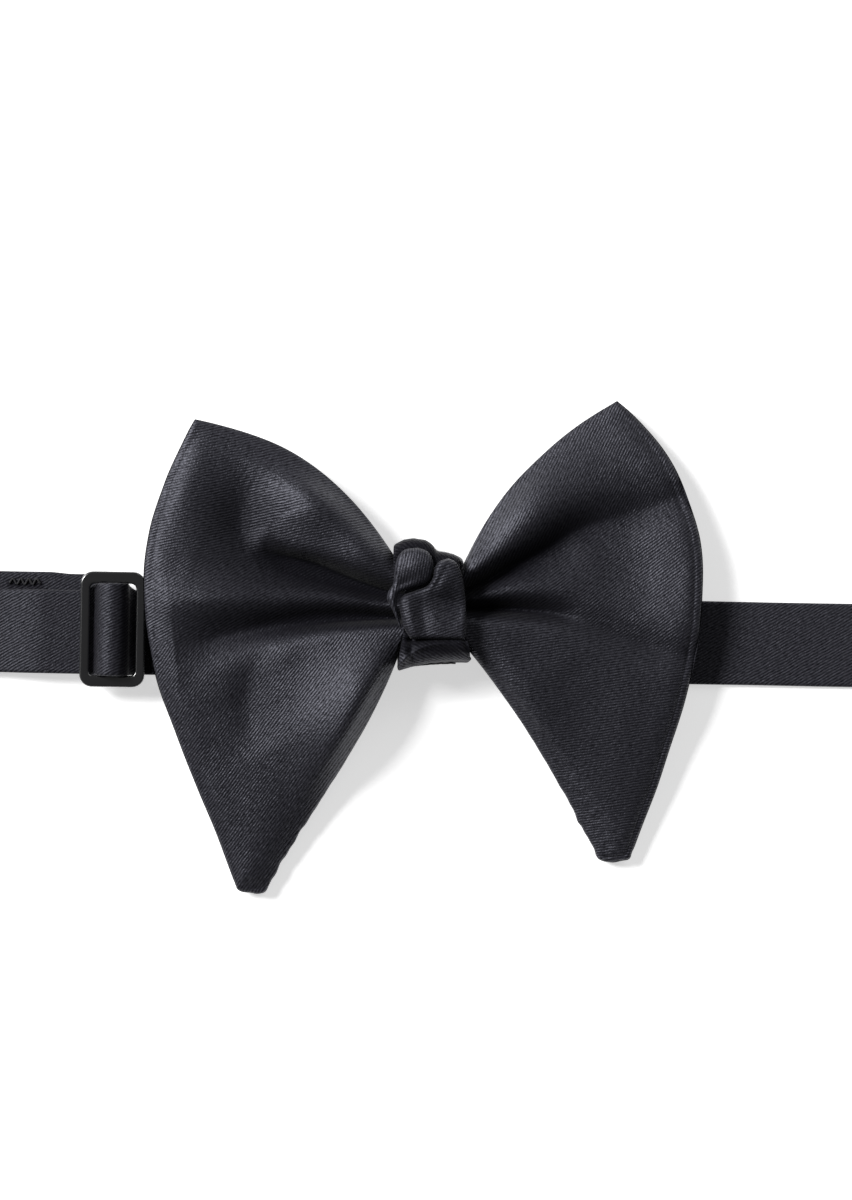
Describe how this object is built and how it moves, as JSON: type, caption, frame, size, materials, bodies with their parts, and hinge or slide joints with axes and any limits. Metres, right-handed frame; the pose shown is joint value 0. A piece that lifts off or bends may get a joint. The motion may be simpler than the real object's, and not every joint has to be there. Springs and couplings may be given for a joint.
{
  "type": "bow tie",
  "caption": "Pre-tied satin bow tie: pleated wings, wrapped knot, and an adjustable neckband with a slider, a hook and an eye.",
  "frame": {"origin": "flat underside of the knot, on the line of the neckband's middle, where the bow tie lies face up", "axes": "+X along the neckband towards the eye, +Y towards the bow's top edge, +Z out of the bow's front"},
  "size_m": [0.3811, 0.1193, 0.0174],
  "materials": {
    "satin": "twill satin",
    "satin_back": "dull side of the satin",
    "interlining": "brushed cotton",
    "thread": "spun thread",
    "black_metal": "gloss black enamel"
  },
  "bodies": {
    "bow": {"left_wing_front_panel": "satin", "left_wing_interlining": "interlining", "left_wing_back_panel": "satin_back", "right_wing_front_panel": "satin", "right_wing_interlining": "interlining", "right_wing_back_panel": "satin_back", "waist_gather": "satin_back", "waist_binding_thread": "thread", "knot_back_loop": "satin", "knot_inner_turn": "satin", "knot_top_turn": "satin", "knot_lower_turn": "satin", "knot_front_flap": "satin", "knot_left_lobe": "satin", "knot_side_fold": "satin", "knot_closing_stitches": "thread", "neckband_left_sleeve": "satin", "neckband_left_interlining": "interlining", "neckband_right_sleeve": "satin", "neckband_right_interlining": "interlining", "eye_end_fold": "satin", "eye_end_stitches": "thread"},
    "slider": {"slider_frame": "black_metal", "slider_anchor_loop": "satin", "slider_band_bight": "satin", "slider_anchor_stitches": "thread"},
    "hook_end": {"hook_end_fold": "satin", "outer_run_sleeve": "satin", "outer_run_interlining": "interlining", "return_run_sleeve": "satin", "return_run_interlining": "interlining", "return_run_seam_thread": "thread"},
    "hook": {"hook": "black_metal"},
    "eye": {"eye": "black_metal"}
  },
  "joints": [
    {"name": "slider_slide", "type": "slide", "parent": "bow", "child": "slider", "axis": [-1, 0, 0], "range_m": [0, 0.132], "deforming": ["neckband_left_sleeve", "neckband_left_interlining"]},
    {"name": "hook_follow", "type": "slide", "parent": "slider", "child": "hook_end", "axis": [-1, 0, 0], "range_m": [-0.066, 0], "deforming": ["outer_run_sleeve", "outer_run_interlining", "return_run_sleeve", "return_run_interlining", "return_run_seam_thread"]},
    {"name": "hook_swivel", "type": "hinge", "parent": "hook_end", "child": "hook", "pos_m": [-0.176, 0, 0.0025], "axis": [0, 1, 0], "range_deg": [0, 150]},
    {"name": "eye_swivel", "type": "hinge", "parent": "bow", "child": "eye", "pos_m": [0.176, 0, 0.0025], "axis": [0, -1, 0], "range_deg": [0, 150]}
  ],
  "couplings": [
    {"joint": "hook_follow", "follows": "slider_slide", "ratio": -0.5}
  ]
}
